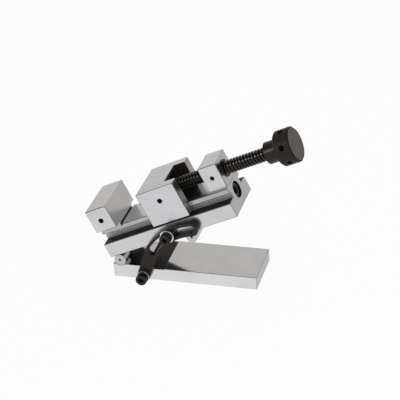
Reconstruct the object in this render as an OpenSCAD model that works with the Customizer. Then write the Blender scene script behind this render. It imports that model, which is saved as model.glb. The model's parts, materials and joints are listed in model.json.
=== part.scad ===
// Screw-type toolmaker's vise that tilts on a sine base.
// Lengths are in millimetres. Origin: middle of the base plate's underside.
// +X runs from the hinge end towards the knob, -Y is the lock arm's side, +Z is up.
// Pieces of the tilting vise are drawn level about the hinge roller's axis, then tilted.

/* [Jaws] */
// Width of the jaws, the bed's flange and the base plate
jaw_w = 63; // [50:1:90]
// Depth of the jaws above the bed
jaw_depth = 32; // [28:0.5:45]
// Length of the fixed jaw along the bed
fixed_jaw_len = 28.8; // [24:0.2:40]
// Length of the moving jaw along the bed
moving_jaw_len = 50; // [44:0.5:60]
// Opening between the jaws as stored
jaw_gap = 42.4; // [2:0.1:60]
// Width of the dark relief groove at the fixed jaw's foot
relief_w = 2.2; // [1:0.1:3]
// Depth of that groove
relief_d = 1.5; // [0.5:0.1:3]
// Height of the fixed jaw's side overhang above the bed
overhang_h = 2.5; // [1:0.1:6]
// Bore of the threaded side holes in both jaws
jaw_hole_d = 6; // [4:0.1:8]
// Depth of the threaded side holes in the jaws
jaw_hole_depth = 12; // [6:0.5:16]

/* [Bed] */
// Length of the bed
body_len = 174; // [160:1:220]
// How far the bed and the base run past the hinge axis
end_over = 9.2; // [8.5:0.1:14]
// Height of the bed's flange
flange_h = 18.1; // [15:0.1:26]
// Height of the neck under the rail's head
neck_h = 8; // [6:0.1:14]
// Width of the neck
neck_w = 34; // [30:0.5:44]
// Height of the rail's head
rail_h = 6.2; // [4:0.1:10]
// Width of the rail's head
rail_w = 44; // [40:0.5:56]
// Gap between the moving jaw's underside and the flange
jaw_lift = 1.6; // [0.5:0.1:3]
// Sliding clearance of the moving jaw beside and below the rail's head
slide_gap = 0.1; // [0.05:0.01:0.3]
// Clearance of the moving jaw's lips beside the neck
lip_gap = 0.4; // [0.2:0.1:1]

/* [Nut block] */
// Length of the nut block along the bed
nut_block_len = 23.4; // [20:0.2:32]
// Width of the nut block
nut_block_w = 35.6; // [32:0.2:44]
// Set-back of the nut block from the bed's end
nut_block_inset = 0.4; // [0:0.1:2]
// Bore of the threaded side holes in the nut block
nut_hole_d = 5; // [3:0.1:6]
// Depth of the threaded side holes in the nut block
nut_hole_depth = 5; // [3:0.5:6]
// Wall of the threaded bush outside the screw
bush_wall = 1.5; // [1.2:0.1:3]
// Width of the bush's rim outside the bush
bush_rim_w = 1; // [0.5:0.1:2]
// Thickness of the bush's rim
bush_rim_t = 1.2; // [0.8:0.1:3]

/* [Recess] */
// Depth of the moving jaw's rear recess along the bed
recess_len = 14.4; // [10:0.2:18]
// Clearance between the recess and the nut block on each side
recess_gap = 0.7; // [0.4:0.1:2]

/* [Screw] */
// Outside diameter of the screw's thread
screw_d = 16; // [14:0.5:18]
// Gap between the thread's crest and the bush in the plain solids
thread_gap = 0.05; // [0.02:0.01:0.1]
// Diameter of the screw's tip in the jaw
tip_d = 14; // [12:0.5:14]
// Diameter of the neck that the keeper holds
groove_d = 10; // [8:0.5:10]
// Thickness of the keeper
keeper_t = 4; // [3:0.5:5]
// Width and height of the keeper
keeper_w = 26; // [24:0.5:27]
// Depth of the tip's bore behind the keeper
tip_depth = 11.4; // [9:0.2:14]
// Thickness of the thrust washer
thrust_t = 2; // [1:0.5:3]
// End play on each side of the keeper and the tip
end_play = 0.1; // [0.05:0.05:0.3]
// Distance from the moving jaw's rear face to the hub
hub_gap = 108.2; // [104:0.2:125]
// Diameter of the hub
hub_d = 25.5; // [22:0.5:30]
// Length of the hub
hub_len = 15.3; // [12:0.1:24]
// Diameter of the knob
knob_d = 41; // [36:0.5:52]
// Length of the knob
knob_len = 20.3; // [16:0.1:28]
// Chamfer on the knob's inner edge
knob_chamfer = 2; // [0.5:0.1:3]
// Chamfer on the knob's outer edge
knob_round = 1.6; // [0.5:0.1:3]
// Diameter of the tommy bar holes
bar_hole_d = 6.5; // [5:0.1:8]
// Depth of the tommy bar holes
bar_hole_depth = 7; // [5:0.5:12]
// Number of tommy bar holes
bar_hole_count = 6; // [4:1:8]
// Angle of the first tommy bar hole about the screw
bar_hole_turn = 37.3; // [0:0.1:60]

/* [Sine base] */
// Angle of the bed above the base as stored
tilt = 24.2; // [5:0.1:44]
// Distance between the two rollers
sine_len = 100; // [95:0.5:125]
// Diameter of the rollers
roller_d = 14; // [13:0.5:15]
// Depth of the flat that seats a roller on the bed
roller_flat = 0.5; // [0.3:0.1:1.5]
// Diameter of the centre marks in the rollers' ends
centre_d = 3; // [1:0.1:4]
// Length of the base plate
base_len = 174; // [160:1:220]
// Thickness of the base plate at its ground top
base_t = 16; // [15:0.5:22]
// Height of the hinge pad above the ground top
pad_h = 1.5; // [0.5:0.1:3]
// Length of the hinge pad
pad_len = 40; // [30:0.5:46]
// End of the dark relief, from the hinge end
dark_len = 62.6; // [54:0.2:75]
// Depth of the dark relief below the ground top
dark_d = 0.8; // [0.3:0.1:2]
// Gap between the hinge roller and its groove in the pad
groove_gap = 0.4; // [0.3:0.1:1]

/* [Hinge block] */
// Width of the hinge block
block_w = 24; // [20:0.5:28]
// Wall of the hinge block outside the roller
block_wall = 1.9; // [1.5:0.1:2]
// Running clearance of the roller in the hinge block
hinge_fit = 0.05; // [0.02:0.01:0.1]
// Gap between the hinge block and its pocket in the bed
block_gap = 0.4; // [0.3:0.1:0.8]
// Height of the hinge block's seat above the base's underside
block_seat = 8; // [6:0.5:9]

/* [Lock arm] */
// Distance of the pivot bolt from the base's hinge end
pivot_dist = 39.3; // [34:0.1:50]
// Height of the pivot bolt above the base's underside
pivot_h = 8.5; // [8.5:0.1:10]
// Place of the clamp bolt along the bed, from the hinge axis
clamp_along = 76.8; // [70:0.1:90]
// Height of the clamp bolt above the flange's underside
clamp_up = 7.3; // [7:0.1:10]
// Thickness of the arm
arm_t = 8; // [6:0.1:10]
// Gap between the arm and the faces behind it
arm_gap = 0.1; // [0.05:0.05:0.4]
// Width of the arm's foot
stalk_w = 15.4; // [14:0.1:16]
// Width of the slot
slot_w = 9.4; // [9:0.1:10]
// Width of each limb beside the slot
limb_w = 3.5; // [3:0.1:5]
// Radius of the slot's middle line
slot_r = 73; // [64:0.5:80]
// Distance of the clamp bolt outside the slot's middle line as stored
slot_off = 0.8; // [0:0.05:1]
// Direction of the clamp bolt as seen from the slot's centre
slot_dir = 125; // [118:0.5:130]
// Sweep of the slot from the clamp bolt to its lower end
slot_low = 24.4; // [20:0.2:28]
// Sweep of the slot from the clamp bolt to its upper end
slot_high = 24.6; // [20:0.2:28]

/* [Arm bolts] */
// Diameter of the bolts' heads
bolt_head_d = 13; // [11:0.5:14]
// Height of the bolts' heads
bolt_head_h = 8; // [5:0.5:9]
// Width across flats of the bolts' sockets
bolt_socket = 6; // [4:0.5:7]
// Depth of the bolts' sockets
socket_depth = 4; // [2:0.5:5]
// Diameter of the bolts' shanks
bolt_d = 8; // [7:0.5:8]
// Diameter of the clamp bolt's waist in the slot
waist_d = 5.8; // [5:0.1:6]
// Depth of the bolts in the base and the bed
bolt_depth = 15; // [10:0.5:18]
// Running clearance of the bolts and of the arm's pivot
bolt_fit = 0.05; // [0.02:0.01:0.1]
// Outside diameter of the clamp washer
clamp_washer_d = 16.4; // [15:0.2:20]
// Thickness of the clamp washer
clamp_washer_t = 1.6; // [1:0.1:3]
// Outside diameter of the pivot washer
pivot_washer_d = 15.4; // [14:0.2:16.4]
// Thickness of the pivot washer
pivot_washer_t = 1.2; // [0.8:0.1:2]

/* [End plug] */
// Diameter of the plug in the bed's end
plug_d = 20; // [16:0.5:22]
// Length of the plug
plug_len = 7; // [5:0.5:8]
// Set-back of the plug's face
plug_inset = 0.8; // [0.2:0.1:2]
// Width across flats of the plug's socket
plug_socket = 8; // [6:0.5:10]
// Height of the plug's axis above the flange's underside
plug_up = 19.1; // [15:0.1:22]

/* [Small screws] */
// Shank diameter of the hinge block's screws
block_screw_d = 5; // [4:0.5:5]
// Shank diameter of the nut block's screws
nut_screw_d = 6; // [5:0.5:6]
// Shank diameter of the rollers' screws
roller_screw_d = 4; // [3:0.5:4]
// Shank diameter of the keeper's screws
keeper_screw_d = 4; // [3:0.5:4]
// Diameter of the pin that holds the knob
pin_d = 4; // [3:0.5:5]

/* [Hidden] */
$fn = 96;
steel = [0.78, 0.79, 0.80];
dark = [0.12, 0.12, 0.12];
bronze = [0.55, 0.42, 0.22];
// Overrun of a cut past the face it opens
cut = 1;
// Clearance between a fixed piece and its seat in the same body
seat = 0.02;
half_w = jaw_w / 2;
// Hinge axis in the base's frame
hinge_x = -base_len / 2 + end_over;
roller_r = roller_d / 2;
hinge_z = base_t + roller_r;
// Heights in the bed's frame, from the hinge axis
flange_z0 = roller_r - roller_flat;
flange_z1 = flange_z0 + flange_h;
rail_z = flange_z1 + neck_h;
bed_z = rail_z + rail_h;
jaw_z = bed_z + jaw_depth;
screw_z = bed_z + jaw_depth / 2;
// Places along the bed, from the hinge axis
bed_x0 = -end_over;
bed_x1 = body_len - end_over;
fixed_x = bed_x0 + fixed_jaw_len;
moving_x = fixed_x + jaw_gap;
moving_x1 = moving_x + moving_jaw_len;
recess_x = moving_x1 - recess_len;
nut_x1 = bed_x1 - nut_block_inset;
nut_x0 = nut_x1 - nut_block_len;
nut_mid = (nut_x0 + nut_x1) / 2;
recess_half = nut_block_w / 2 + recess_gap;
// The screw's steps
keeper_x = recess_x - keeper_t;
tip_x = keeper_x - tip_depth;
tip_x0 = tip_x + thrust_t + end_play;
neck_x0 = keeper_x - end_play;
neck_x1 = recess_x + end_play;
hub_x = moving_x1 + hub_gap;
knob_x = hub_x + hub_len;
knob_x1 = knob_x + knob_len;
shaft_d = screw_d * 0.75;
bush_d = screw_d + 2 * bush_wall;
bush_rim_d = bush_d + 2 * bush_rim_w;
shaft_end = knob_x + knob_len * 0.2;
// Hinge block
block_r = roller_r + block_wall;
block_x1 = block_r;
// Arm places in the base's frame
pivot_x = -base_len / 2 + pivot_dist;
pivot_z = pivot_h;
clamp_z = flange_z0 + clamp_up;
clamp_wx = hinge_x + clamp_along * cos(tilt) - clamp_z * sin(tilt);
clamp_wz = hinge_z + clamp_along * sin(tilt) + clamp_z * cos(tilt);
slot_cx = clamp_wx - pivot_x - (slot_r + slot_off) * cos(slot_dir);
slot_cz = clamp_wz - pivot_z - (slot_r + slot_off) * sin(slot_dir);
slot_a0 = slot_dir - slot_high;
slot_a1 = slot_dir + slot_low;
low_x = slot_cx + slot_r * cos(slot_a1);
low_z = slot_cz + slot_r * sin(slot_a1);
stalk_len = sqrt(low_x * low_x + low_z * low_z);
stalk_turn = atan2(low_z, low_x);
band_half = slot_w / 2 + limb_w;
// Round ends stand this much proud, so that they cross the sides cleanly
cap_grow = 0.1;
// Wedge that cuts the ring to the slot's sweep
wedge_r = 2 * slot_r;
wedge_step = (slot_a1 - slot_a0) / 3;
arm_y = half_w + arm_gap;
arm_front = arm_y + arm_t;
washer_y = arm_front + arm_gap;
plug_z = flange_z0 + plug_up;
// Screws' places
block_screw_y = block_w * 0.29;
nut_screw_y = nut_block_w * 0.3;
nut_screw_x = nut_x0 + nut_block_len * 0.3;
roller_screw_y = (block_w / 2 + half_w) / 2;
keeper_screw_y = (groove_d / 2 + keeper_w / 2) / 2;
keeper_screw_z = screw_z - keeper_w * 0.25;
pin_x = hub_x + hub_len / 2;

// A piece of the tilting vise, moved from its level place to its stored tilt
module on_bed() {
    translate([hinge_x, 0, hinge_z])
    rotate([0, -tilt, 0])
    children();
}

// A block between two corners
module block(a, b) {
    translate(a)
    cube(b - a);
}

// A rod along the bed, from x0 to x1
module rod_x(d, x0, x1, y, z) {
    translate([x0, y, z])
    rotate([0, 90, 0])
    cylinder(d = d, h = x1 - x0);
}

// A rod across the bed, from y0 to y1
module rod_y(d, y0, y1, x, z) {
    translate([x, y0, z])
    rotate([-90, 0, 0])
    cylinder(d = d, h = y1 - y0);
}

// A rod that stands up from z0 to z1
module rod_z(d, z0, z1, x, y) {
    translate([x, y, z0])
    cylinder(d = d, h = z1 - z0);
}

// A pair of threaded holes in the two sides of a block of the given half width
module side_holes(d, depth, half, x, z) {
    rod_y(d, -half - cut, -half + depth, x, z);
    rod_y(d, half - depth, half + cut, x, z);
}

// Base plate with its hinge pad, dark relief, roller groove and bolt holes
module base_plate() {
    color(steel)
    difference() {
        union() {
            block([-base_len / 2, -half_w, 0], [base_len / 2, half_w, base_t - dark_d]);
            block([-base_len / 2 + dark_len, -half_w, 0], [base_len / 2, half_w, base_t]);
            block([-base_len / 2, -half_w, 0], [-base_len / 2 + pad_len, half_w, base_t + pad_h]);
        }
        rod_y(roller_d + 2 * groove_gap, -half_w - cut, half_w + cut, hinge_x, hinge_z);
        block([-base_len / 2 - cut, -block_w / 2 - seat, block_seat],
            [hinge_x + block_x1 + seat, block_w / 2 + seat, base_t + pad_h + cut]);
        for (side = [-1, 1]) {
            rod_z(block_screw_d + 2 * seat, -cut, block_seat + cut, hinge_x, side * block_screw_y);
            rod_z(block_screw_d * 1.7 + 2 * seat, -cut, block_screw_d, hinge_x, side * block_screw_y);
        }
        rod_y(bolt_d + 2 * bolt_fit, -half_w - cut, -half_w + bolt_depth + cut, pivot_x, pivot_z);
    }
}

// Bearing block of the hinge, let into the base under the middle of the roller
module hinge_block() {
    color(dark)
    difference() {
        union() {
            block([hinge_x - block_r, -block_w / 2, block_seat], [hinge_x + block_x1, block_w / 2, hinge_z]);
            rod_y(2 * block_r, -block_w / 2, block_w / 2, hinge_x, hinge_z);
        }
        rod_y(roller_d + 2 * hinge_fit, -block_w / 2 - cut, block_w / 2 + cut, hinge_x, hinge_z);
        for (side = [-1, 1]) {
            rod_z(block_screw_d + 2 * seat, block_seat - cut, hinge_z - roller_r - cut, hinge_x,
                side * block_screw_y);
        }
    }
}

// Socket screws that hold the hinge block from below
module hinge_block_screws() {
    color(dark)
    for (side = [-1, 1]) {
        translate([hinge_x, side * block_screw_y, 0])
        difference() {
            union() {
                rod_z(block_screw_d, block_screw_d - cut, hinge_z - roller_r - 2 * cut, 0, 0);
                rod_z(block_screw_d * 1.7, cut / 2, block_screw_d, 0, 0);
            }
            cylinder(d = block_screw_d * 0.92, h = block_screw_d * 0.6, $fn = 6);
        }
    }
}

// Bed with flange, neck, rail and fixed jaw in one piece
module vise_body() {
    color(steel)
    on_bed()
    difference() {
        union() {
            block([bed_x0, -half_w, flange_z0], [bed_x1, half_w, flange_z1]);
            block([bed_x0, -neck_w / 2, flange_z0], [bed_x1, neck_w / 2, bed_z]);
            block([bed_x0, -rail_w / 2, rail_z], [bed_x1, rail_w / 2, bed_z]);
            block([bed_x0, -rail_w / 2, rail_z], [fixed_x, rail_w / 2, jaw_z]);
            block([bed_x0, -half_w, bed_z + overhang_h], [fixed_x, half_w, jaw_z]);
        }
        block([fixed_x, -half_w, bed_z - relief_d], [fixed_x + relief_w, half_w, bed_z + cut]);
        side_holes(jaw_hole_d, jaw_hole_depth, half_w, (bed_x0 + fixed_x) / 2, screw_z);
        rod_y(2 * (block_r + block_gap), -block_w / 2 - block_gap, block_w / 2 + block_gap, 0, 0);
        rod_y(bolt_d + 2 * bolt_fit, -half_w - cut, -half_w + bolt_depth + cut, clamp_along, clamp_z);
        rod_x(plug_d + 2 * seat, bed_x1 - plug_inset - plug_len, bed_x1 + cut, 0, plug_z);
        for (side = [-1, 1]) {
            rod_z(nut_screw_d + 2 * seat, flange_z0 - cut, bed_z + cut, nut_screw_x, side * nut_screw_y);
            rod_z(nut_screw_d * 1.7 + 2 * seat, flange_z0 - cut, flange_z0 + nut_screw_d + cut, nut_screw_x,
                side * nut_screw_y);
            for (x = [0, sine_len]) {
                rod_z(roller_screw_d + 2 * seat, flange_z0 - cut, flange_z0 + 2 * roller_screw_d + cut, x,
                    side * roller_screw_y);
            }
        }
    }
}

// Roller with flats on top for its seat, centre marks in its ends and sunk screw holes below
module roller(flat_from) {
    difference() {
        rod_y(roller_d, -half_w, half_w, 0, 0);
        for (side = [-1, 1]) {
            block([-roller_r, side > 0 ? flat_from : -half_w - cut, flange_z0],
                [roller_r, side > 0 ? half_w + cut : -flat_from, roller_r + cut]);
            rod_y(centre_d, side * half_w - centre_d / 2, side * half_w + centre_d / 2, 0, 0);
            rod_z(roller_screw_d + 2 * seat, -roller_r - cut, roller_r + cut, 0, side * roller_screw_y);
            rod_z(roller_screw_d * 1.75 + 2 * seat, -roller_r - cut, -roller_r + roller_screw_d + cut, 0,
                side * roller_screw_y);
        }
    }
}

// Roller that turns in the hinge block
module hinge_roller() {
    color(steel)
    on_bed()
    roller(block_w / 2 + block_gap);
}

// Roller that stands on the gauge blocks or on the base's ground top
module sine_roller() {
    color(steel)
    on_bed()
    translate([sine_len, 0, 0])
    roller(0);
}

// Socket screws sunk in the rollers
module roller_screws() {
    color(dark)
    on_bed()
    for (x = [0, sine_len]) {
        for (side = [-1, 1]) {
            translate([x, side * roller_screw_y, 0])
            difference() {
                union() {
                    rod_z(roller_screw_d, -roller_r + roller_screw_d, flange_z0 + 2 * roller_screw_d, 0, 0);
                    rod_z(roller_screw_d * 1.75, -roller_r + cut, -roller_r + roller_screw_d + cut, 0, 0);
                }
                translate([0, 0, -roller_r])
                cylinder(d = roller_screw_d * 0.86, h = cut + roller_screw_d * 0.5, $fn = 6);
            }
        }
    }
}

// Block that holds the threaded bush
module nut_block() {
    color(steel)
    on_bed()
    difference() {
        block([nut_x0, -nut_block_w / 2, bed_z], [nut_x1, nut_block_w / 2, jaw_z]);
        rod_x(bush_d + 2 * seat, nut_x0 - cut, nut_x1 + cut, 0, screw_z);
        side_holes(nut_hole_d, nut_hole_depth, nut_block_w / 2, nut_mid, screw_z);
        for (side = [-1, 1]) {
            rod_z(nut_screw_d + 2 * seat, bed_z - cut, bed_z + 6, nut_screw_x, side * nut_screw_y);
        }
    }
}

// Long socket screws that hold the nut block from under the bed
module nut_block_screws() {
    color(dark)
    on_bed()
    for (side = [-1, 1]) {
        translate([nut_screw_x, side * nut_screw_y, 0])
        difference() {
            union() {
                rod_z(nut_screw_d, flange_z0 + nut_screw_d, bed_z + 5, 0, 0);
                rod_z(nut_screw_d * 1.7, flange_z0 + cut, flange_z0 + nut_screw_d + cut, 0, 0);
            }
            translate([0, 0, flange_z0])
            cylinder(d = nut_screw_d * 0.96, h = cut + nut_screw_d * 0.6, $fn = 6);
        }
    }
}

// Bush in the nut block; the thread itself is left plain
module lead_nut() {
    color(dark)
    on_bed()
    difference() {
        union() {
            rod_x(bush_d, nut_x0, nut_x1, 0, screw_z);
            rod_x(bush_rim_d, nut_x1, nut_x1 + bush_rim_t, 0, screw_z);
        }
        rod_x(screw_d + 2 * thread_gap, nut_x0 - cut, nut_x1 + bush_rim_t + cut, 0, screw_z);
    }
}

// Plug with a hexagon socket in the bed's end
module end_plug() {
    color(dark)
    on_bed()
    difference() {
        rod_x(plug_d, bed_x1 - plug_inset - plug_len, bed_x1 - plug_inset, 0, plug_z);
        translate([bed_x1 - plug_inset - plug_len * 0.6, 0, plug_z])
        rotate([0, 90, 0])
        cylinder(d = plug_socket / cos(30), h = plug_len, $fn = 6);
    }
}

// Moving jaw: straddles the rail, grips under its head and takes the screw's tip
module moving_jaw() {
    color(steel)
    on_bed()
    difference() {
        block([moving_x, -half_w, flange_z1 + jaw_lift], [moving_x1, half_w, jaw_z]);
        block([moving_x - cut, -rail_w / 2 - slide_gap, rail_z - slide_gap],
            [moving_x1 + cut, rail_w / 2 + slide_gap, bed_z]);
        block([moving_x - cut, -neck_w / 2 - lip_gap, flange_z1 - cut],
            [moving_x1 + cut, neck_w / 2 + lip_gap, bed_z]);
        block([recess_x, -recess_half, bed_z - cut], [moving_x1 + cut, recess_half, jaw_z + cut]);
        block([keeper_x, -keeper_w / 2 - seat, screw_z - keeper_w / 2 - seat],
            [recess_x + cut, keeper_w / 2 + seat, screw_z + keeper_w / 2 + seat]);
        rod_x(tip_d + 2 * thread_gap, tip_x, recess_x, 0, screw_z);
        side_holes(jaw_hole_d, jaw_hole_depth, half_w, (moving_x + moving_x1) / 2, screw_z);
        for (side = [-1, 1]) {
            rod_x(keeper_screw_d + 2 * seat, keeper_x - 2 * keeper_screw_d - cut, recess_x,
                side * keeper_screw_y, keeper_screw_z);
        }
    }
}

// Fork-shaped keeper that holds the screw's neck in the moving jaw
module screw_keeper() {
    color(dark)
    on_bed()
    difference() {
        block([keeper_x, -keeper_w / 2, screw_z - keeper_w / 2],
            [recess_x, keeper_w / 2, screw_z + keeper_w / 2]);
        rod_x(groove_d + 2 * thread_gap, keeper_x - cut, recess_x + cut, 0, screw_z);
        block([keeper_x - cut, -groove_d / 2 - thread_gap, screw_z],
            [recess_x + cut, groove_d / 2 + thread_gap, screw_z + keeper_w]);
        for (side = [-1, 1]) {
            rod_x(keeper_screw_d + 2 * seat, keeper_x - cut, recess_x + cut,
                side * keeper_screw_y, keeper_screw_z);
            rod_x(keeper_screw_d * 1.7 + 2 * seat, recess_x - keeper_t / 2, recess_x + cut,
                side * keeper_screw_y, keeper_screw_z);
        }
    }
}

// Flush screws of the keeper
module keeper_screws() {
    color(dark)
    on_bed()
    for (side = [-1, 1]) {
        difference() {
            union() {
                rod_x(keeper_screw_d, keeper_x - 2 * keeper_screw_d, recess_x - keeper_t / 2,
                    side * keeper_screw_y, keeper_screw_z);
                rod_x(keeper_screw_d * 1.7, recess_x - keeper_t / 2, recess_x,
                    side * keeper_screw_y, keeper_screw_z);
            }
            translate([recess_x - keeper_t * 0.3, side * keeper_screw_y, keeper_screw_z])
            rotate([0, 90, 0])
            cylinder(d = keeper_screw_d * 0.7, h = keeper_t, $fn = 6);
        }
    }
}

// Washer that takes the screw's push at the bottom of its bore
module thrust_washer() {
    color(bronze)
    on_bed()
    rod_x(tip_d, tip_x, tip_x + thrust_t, 0, screw_z);
}

// Screw with tip, neck and plain end; its thread is left plain at the outside diameter
module lead_screw() {
    color(dark)
    on_bed()
    union() {
        rod_x(tip_d, tip_x0, neck_x0, 0, screw_z);
        rod_x(groove_d, neck_x0 - cut, neck_x1 + cut, 0, screw_z);
        rod_x(screw_d, neck_x1, hub_x, 0, screw_z);
        rod_x(shaft_d, hub_x - cut, shaft_end, 0, screw_z);
    }
}

// Hub and knob, turned in one piece, with radial holes for a tommy bar
module knob() {
    color(dark)
    on_bed()
    translate([0, 0, screw_z])
    difference() {
        union() {
            rod_x(hub_d, hub_x, knob_x + cut, 0, 0);
            translate([knob_x, 0, 0])
            rotate([0, 90, 0])
            cylinder(d1 = knob_d - 2 * knob_chamfer, d2 = knob_d, h = knob_chamfer);
            rod_x(knob_d, knob_x + knob_chamfer, knob_x1 - knob_round, 0, 0);
            translate([knob_x1 - knob_round, 0, 0])
            rotate([0, 90, 0])
            cylinder(d1 = knob_d, d2 = knob_d - 2 * knob_round, h = knob_round);
        }
        rod_x(shaft_d + 2 * seat, hub_x - cut, shaft_end, 0, 0);
        for (i = [0 : bar_hole_count - 1]) {
            rotate([bar_hole_turn + i * 360 / bar_hole_count, 0, 0])
            rod_y(bar_hole_d, knob_d / 2 - bar_hole_depth, knob_d / 2 + cut, knob_x + knob_len / 2, 0);
        }
        rotate([-22.7, 0, 0])
        rod_y(pin_d + 2 * seat, 0, hub_d / 2 + cut, pin_x, 0);
    }
}

// Pin driven through the hub beside the screw's plain end
module knob_pin() {
    color(steel)
    on_bed()
    translate([0, 0, screw_z])
    rotate([-22.7, 0, 0])
    rod_y(pin_d, shaft_d / 2, hub_d / 2 - 0.3, pin_x, 0);
}

// A stretch of ring about the slot's centre, of the given half width, with round ends
module slot_band(half, h) {
    intersection() {
        translate([slot_cx, slot_cz, 0])
        difference() {
            cylinder(r = slot_r + half, h = h);
            translate([0, 0, -cut])
            cylinder(r = slot_r - half, h = h + 2 * cut);
        }
        translate([slot_cx, slot_cz, -cut])
        linear_extrude(height = h + 2 * cut)
        polygon([[0, 0], for (i = [0 : 3])
            wedge_r * [cos(slot_a0 + i * wedge_step), sin(slot_a0 + i * wedge_step)]]);
    }
    for (a = [slot_a0, slot_a1]) {
        translate([slot_cx + slot_r * cos(a), slot_cz + slot_r * sin(a), 0])
        cylinder(r = half + cap_grow, h = h);
    }
}

// Slotted arm that swings on the base and clamps the bed at its angle
module lock_arm() {
    color(dark)
    translate([pivot_x, -arm_y, pivot_z])
    rotate([90, 0, 0])
    difference() {
        union() {
            slot_band(band_half, arm_t);
            cylinder(d = stalk_w + 2 * cap_grow, h = arm_t);
            rotate([0, 0, stalk_turn])
            translate([0, -stalk_w / 2, 0])
            cube([stalk_len, stalk_w, arm_t]);
        }
        translate([0, 0, -cut])
        slot_band(slot_w / 2, arm_t + 2 * cut);
        translate([0, 0, -cut])
        cylinder(d = bolt_d + 2 * bolt_fit, h = arm_t + 2 * cut);
    }
}

// Head of a socket bolt that points at the machine's front, at height 0
module bolt_head(y0) {
    difference() {
        rod_y(bolt_head_d, y0 - bolt_head_h, y0, 0, 0);
        translate([0, y0 - bolt_head_h - cut, 0])
        rotate([-90, 0, 0])
        cylinder(d = bolt_socket / cos(30), h = socket_depth + cut, $fn = 6);
    }
}

// Flat washer with its back at y0
module washer(d, t, y0, bore) {
    difference() {
        rod_y(d, y0 - t, y0, 0, 0);
        rod_y(bore + 2 * seat, y0 - t - cut, y0 + cut, 0, 0);
    }
}

// Bolt on which the arm swings
module pivot_bolt() {
    color(dark)
    translate([pivot_x, 0, pivot_z])
    union() {
        bolt_head(-washer_y - pivot_washer_t);
        rod_y(bolt_d, -washer_y - pivot_washer_t - cut, -half_w + bolt_depth, 0, 0);
    }
}

// Washer under the pivot bolt's head
module pivot_washer() {
    color(steel)
    translate([pivot_x, 0, pivot_z])
    washer(pivot_washer_d, pivot_washer_t, -washer_y, bolt_d);
}

// Bolt in the bed that clamps the arm at its slot
module clamp_bolt() {
    color(dark)
    on_bed()
    translate([clamp_along, 0, clamp_z])
    union() {
        bolt_head(-washer_y - clamp_washer_t);
        rod_y(waist_d, -washer_y - clamp_washer_t - cut, -half_w + cut, 0, 0);
        rod_y(bolt_d, -half_w + cut, -half_w + bolt_depth, 0, 0);
    }
}

// Bright washer under the clamp bolt's head
module clamp_washer() {
    color(steel)
    on_bed()
    translate([clamp_along, 0, clamp_z])
    washer(clamp_washer_d, clamp_washer_t, -washer_y, waist_d);
}

base_plate();
hinge_block();
hinge_block_screws();
vise_body();
hinge_roller();
sine_roller();
roller_screws();
nut_block();
nut_block_screws();
lead_nut();
end_plug();
moving_jaw();
screw_keeper();
keeper_screws();
thrust_washer();
lead_screw();
knob();
knob_pin();
lock_arm();
pivot_bolt();
pivot_washer();
clamp_bolt();
clamp_washer();
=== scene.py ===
"""Looks of a screw-type toolmaker's vise on a sine base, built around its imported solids.

Lengths are in metres, in the solids' own frame: +X runs from the hinge to the knob, -Y is the lock
arm's side and +Z is up. The bed's frame starts at the hinge roller's axis and leans with the bed.
"""
import json
import math

import bmesh
import bpy
from mathutils import Matrix, Vector

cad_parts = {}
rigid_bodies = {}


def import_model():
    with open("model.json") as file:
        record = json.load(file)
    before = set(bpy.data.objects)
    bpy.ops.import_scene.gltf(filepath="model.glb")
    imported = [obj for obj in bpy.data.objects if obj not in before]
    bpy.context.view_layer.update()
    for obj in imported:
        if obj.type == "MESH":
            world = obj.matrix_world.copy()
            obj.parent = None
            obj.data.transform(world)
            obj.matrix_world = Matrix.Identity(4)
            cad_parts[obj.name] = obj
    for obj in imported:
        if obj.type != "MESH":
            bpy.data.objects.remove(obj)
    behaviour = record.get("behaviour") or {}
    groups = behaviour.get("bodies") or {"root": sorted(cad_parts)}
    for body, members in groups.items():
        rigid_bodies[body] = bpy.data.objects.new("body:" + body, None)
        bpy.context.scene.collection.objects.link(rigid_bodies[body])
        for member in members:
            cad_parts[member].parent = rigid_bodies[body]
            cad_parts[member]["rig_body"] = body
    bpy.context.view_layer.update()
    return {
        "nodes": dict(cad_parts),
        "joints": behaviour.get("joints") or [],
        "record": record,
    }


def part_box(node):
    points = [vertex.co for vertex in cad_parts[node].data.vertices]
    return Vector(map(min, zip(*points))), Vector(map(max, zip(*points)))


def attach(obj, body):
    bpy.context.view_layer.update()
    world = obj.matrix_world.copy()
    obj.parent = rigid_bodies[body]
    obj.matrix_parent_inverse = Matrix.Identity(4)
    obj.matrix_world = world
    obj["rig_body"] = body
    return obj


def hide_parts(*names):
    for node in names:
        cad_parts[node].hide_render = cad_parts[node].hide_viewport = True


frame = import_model()

MM = 0.001
NODES = frame["nodes"]
JOINTS = {joint["name"]: joint for joint in frame["joints"]}

# The bed's frame, read from the hinge and the screw
HINGE = Vector(JOINTS["tilt"]["pos_m"])
ALONG_BED = Vector(JOINTS["jaw_slide"]["axis"])
TILT = math.atan2(ALONG_BED.z, ALONG_BED.x)
BED = Matrix.Translation(HINGE) @ Matrix.Rotation(-TILT, 4, "Y")
TO_BED = BED.inverted()
SCREW_HEIGHT = (TO_BED @ Vector(JOINTS["screw_spin"]["pos_m"])).z
SCREW_AXIS = BED @ Matrix.Translation((0, 0, SCREW_HEIGHT))

# Heights, places and reaches in the bed's frame
FLANGE_UNDERSIDE = 6.5 * MM
FLANGE_TOP = 24.6 * MM
RAIL_UNDERSIDE = 32.6 * MM
BED_TOP = 38.8 * MM
JAW_TOP = 70.8 * MM
RAIL_HALF = 22 * MM
JAW_HALF = 31.5 * MM
FIXED_JAW_FACE = 19.6 * MM
RELIEF_WIDTH = 2.2 * MM
RECESS_FACE = 97.6 * MM
RECESS_HALF = 18.5 * MM
KEEPER_POCKET = 6 * MM
CHANNEL_HALF = RAIL_HALF + 0.6 * MM
HINGE_POCKET_REACH = 14 * MM
HINGE_POCKET_TOP = 12 * MM

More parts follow.
